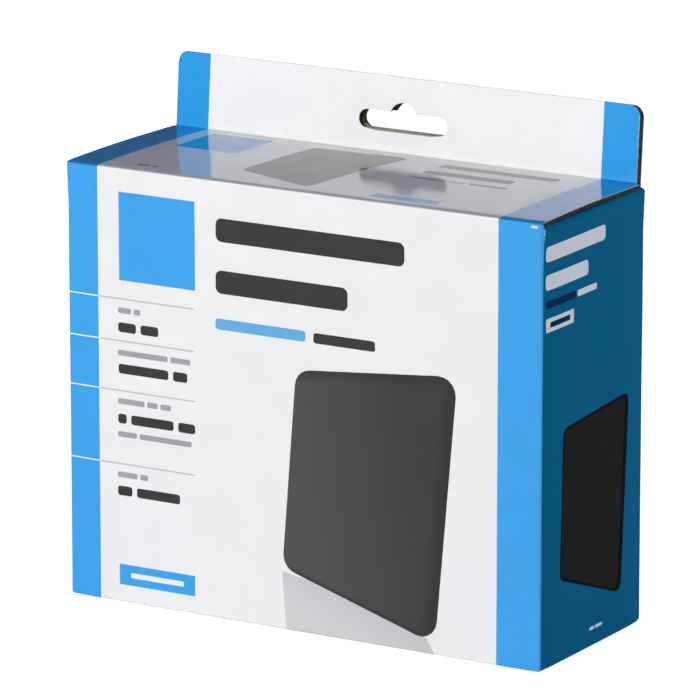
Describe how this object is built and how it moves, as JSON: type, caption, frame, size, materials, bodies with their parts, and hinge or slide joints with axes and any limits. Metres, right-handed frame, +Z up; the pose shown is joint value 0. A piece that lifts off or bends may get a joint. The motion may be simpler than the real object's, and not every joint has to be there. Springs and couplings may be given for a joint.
{
  "type": "printed retail carton with hang tab",
  "caption": "Closed retail carton of printed micro-flute board, with a lid that hinges at the front and turns up at the back into a double hang tab with a hanger slot.",
  "frame": {"origin": "middle of the base, on the surface that the carton stands on", "axes": "+X across the front to its right, +Y from the front to the back, +Z up"},
  "size_m": [0.171, 0.0673, 0.1653],
  "materials": {
    "printed_board": "gloss varnish over print, brown inside"
  },
  "bodies": {
    "carton": {"carton": "printed_board"},
    "lid": {"lid_flap": "printed_board"}
  },
  "joints": [
    {"name": "lid_hinge", "type": "hinge", "parent": "carton", "child": "lid", "pos_m": [0, -0.03075, 0.141], "axis": [1, 0, 0], "range_deg": [0, 175]}
  ]
}
